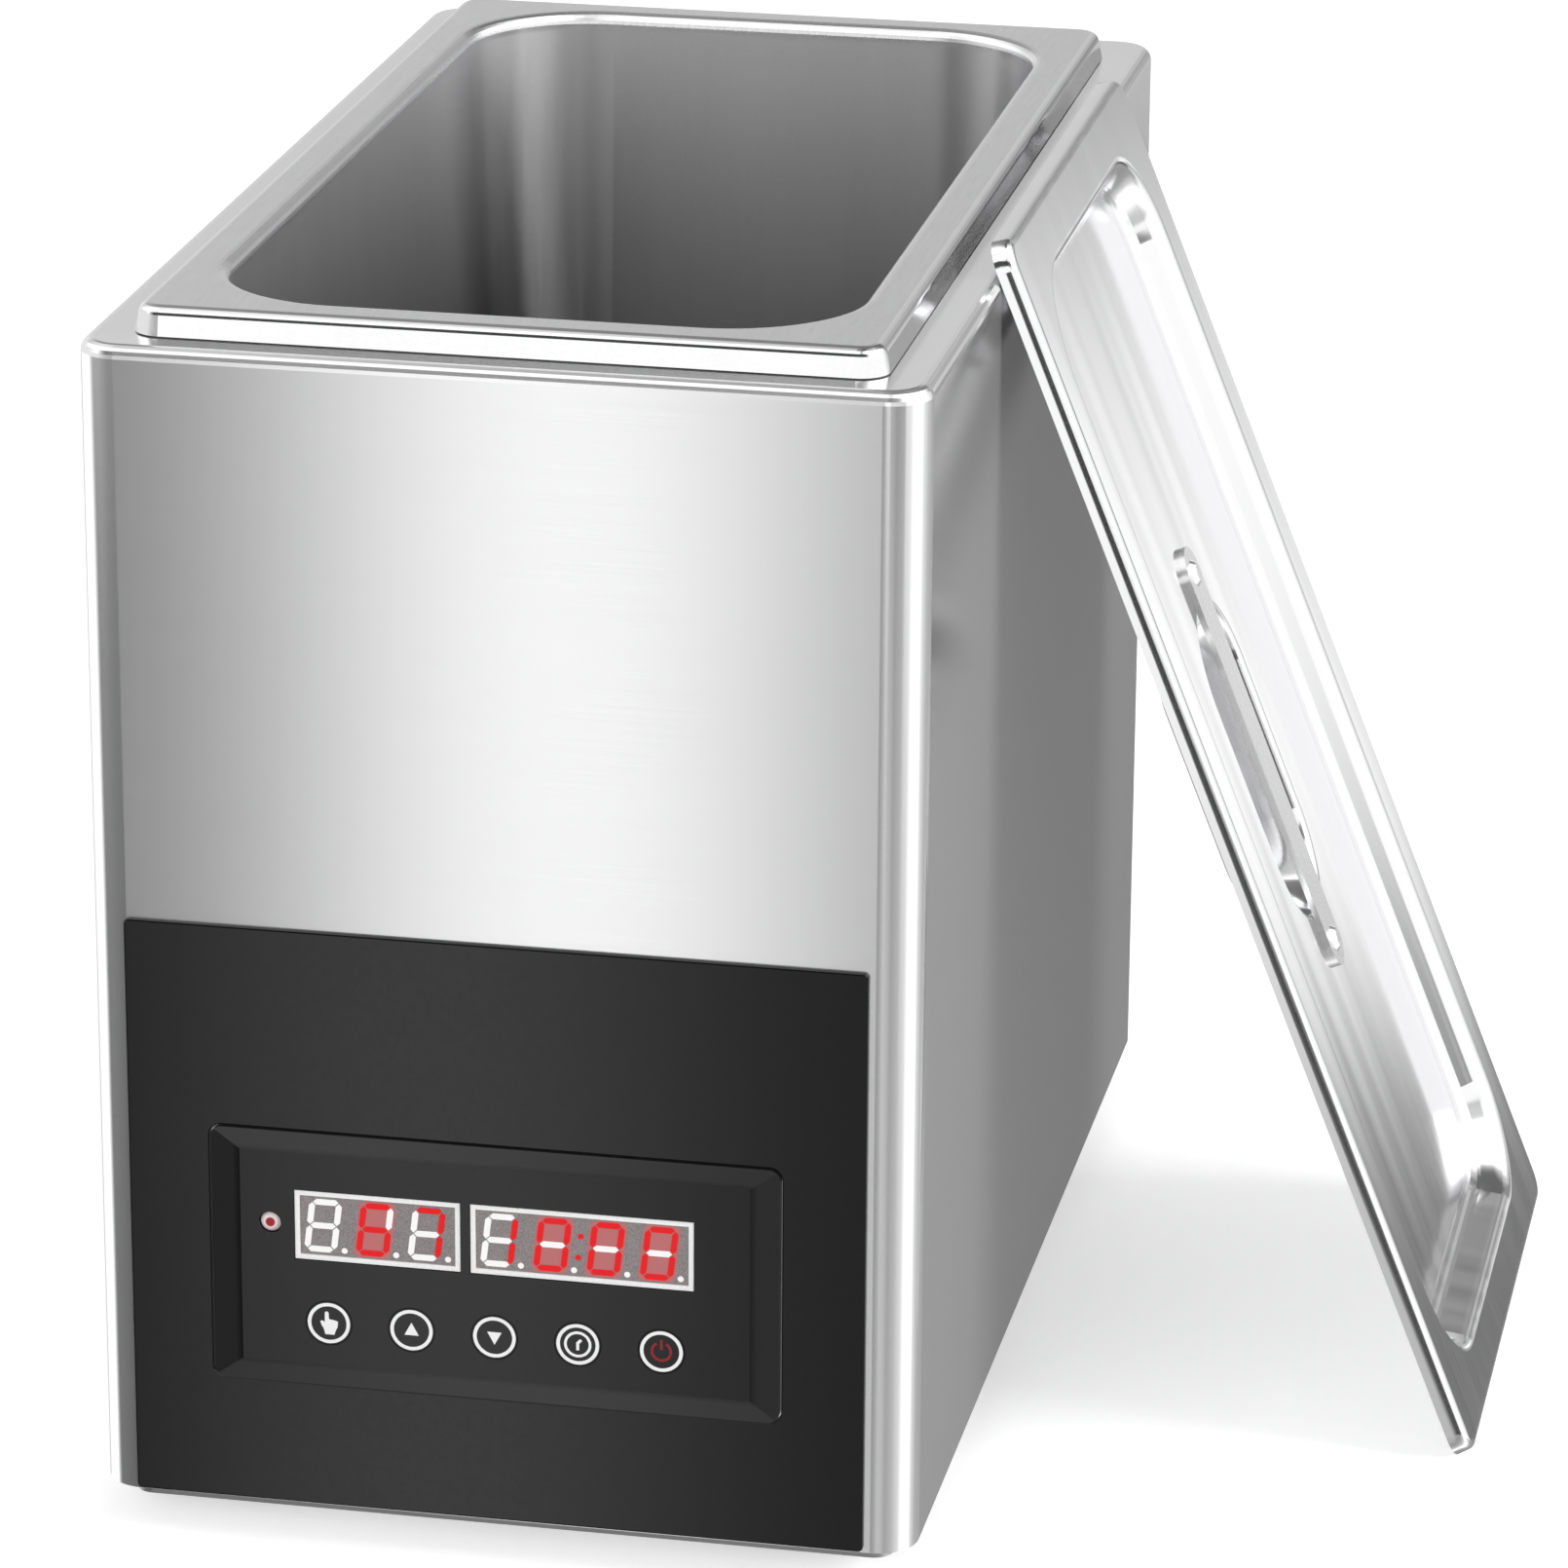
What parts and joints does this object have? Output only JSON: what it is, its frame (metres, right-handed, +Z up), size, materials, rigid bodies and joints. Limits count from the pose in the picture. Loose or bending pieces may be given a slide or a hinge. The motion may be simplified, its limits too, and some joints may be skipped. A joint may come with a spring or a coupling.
{
  "type": "commercial egg boiler",
  "caption": "Stainless countertop egg boiler: heated water bath holding a deep gastronorm pan, front control panel, and a recessed lid leaning on its side.",
  "frame": {"origin": "on the floor, below the centre of the body", "axes": "+X to the object's right (lid side), +Y to the back, +Z up; the control panel faces -Y"},
  "size_m": [0.32, 0.3741, 0.3022],
  "materials": {
    "body_steel": "satin brushed stainless",
    "base_steel": "dull rolled stainless",
    "foot_rubber": "matt moulded",
    "fastener_steel": "bright turned",
    "tank_steel": "satin drawn",
    "insulation_wool": "felted mineral wool",
    "heater_sheath": "dull heat-tinted sheath",
    "seal_rubber": "silicone",
    "probe_steel": "polished",
    "ceramic": "matt",
    "clip_steel": "bright",
    "pan_steel": "satin pressed, polished rim",
    "lid_steel": "polished",
    "handle_steel": "polished",
    "panel_black": "gloss",
    "bezel_black": "gloss",
    "housing_grey": "matt moulded",
    "display_white": "lens over a pale frame",
    "light_red": "clear lens",
    "key_black": "gloss, printed symbol",
    "switch_black": "matt",
    "board_green": "solder resist",
    "relay_blue": "matt",
    "coil_yellow": "taped",
    "earth_brass": "bright",
    "gland_black": "matt nylon"
  },
  "bodies": {
    "boiler": {"body_shell": "body_steel", "base_plate": "base_steel", "foot_front_left": "foot_rubber", "foot_front_right": "foot_rubber", "foot_back_left": "foot_rubber", "foot_back_right": "foot_rubber", "foot_screws": "fastener_steel", "foot_nuts": "fastener_steel", "base_screws": "fastener_steel", "base_screw_nuts": "fastener_steel", "heater_nuts": "fastener_steel", "probe_nut": "fastener_steel", "board_screws": "fastener_steel", "earth_nuts": "fastener_steel", "water_tank": "tank_steel", "insulation": "insulation_wool", "heating_element": "heater_sheath", "heater_seals": "seal_rubber", "probe_seal": "seal_rubber", "gland_seal": "seal_rubber", "temperature_probe": "probe_steel", "limit_thermostat": "ceramic", "terminal_block": "ceramic", "board_pillars": "ceramic", "thermostat_clip": "clip_steel", "front_panel": "panel_black", "controller_bezel": "bezel_black", "controller_housing": "housing_grey", "temperature_display": "display_white", "time_display": "display_white", "heating_light": "light_red", "key_switches": "switch_black", "control_board": "board_green", "power_board": "board_green", "relay": "relay_blue", "transformer": "coil_yellow", "earth_stud": "earth_brass", "cable_gland": "gland_black", "gland_cap": "gland_black", "gland_locknut": "gland_black"},
    "pan_body": {"pan": "pan_steel"},
    "lid_body": {"lid": "lid_steel", "lid_handle": "handle_steel", "handle_rivets": "handle_steel"},
    "key_set_body": {"key_set": "key_black"},
    "key_up_body": {"key_up": "key_black"},
    "key_down_body": {"key_down": "key_black"},
    "key_timer_body": {"key_timer": "key_black"},
    "key_power_body": {"key_power": "key_black"}
  },
  "joints": [
    {"name": "pan_lift", "type": "slide", "parent": "boiler", "child": "pan_body", "axis": [0, 0, 1], "range_m": [0, 0.25]},
    {"name": "lid_lift", "type": "slide", "parent": "boiler", "child": "lid_body", "axis": [0, 0, 1], "range_m": [0, 0.32]},
    {"name": "key_set_press", "type": "slide", "parent": "boiler", "child": "key_set_body", "axis": [0, 1, 0], "range_m": [0, 0.0005], "stiffness_N_per_m": 3000},
    {"name": "key_up_press", "type": "slide", "parent": "boiler", "child": "key_up_body", "axis": [0, 1, 0], "range_m": [0, 0.0005], "stiffness_N_per_m": 3000},
    {"name": "key_down_press", "type": "slide", "parent": "boiler", "child": "key_down_body", "axis": [0, 1, 0], "range_m": [0, 0.0005], "stiffness_N_per_m": 3000},
    {"name": "key_timer_press", "type": "slide", "parent": "boiler", "child": "key_timer_body", "axis": [0, 1, 0], "range_m": [0, 0.0005], "stiffness_N_per_m": 3000},
    {"name": "key_power_press", "type": "slide", "parent": "boiler", "child": "key_power_body", "axis": [0, 1, 0], "range_m": [0, 0.0005], "stiffness_N_per_m": 3000}
  ]
}
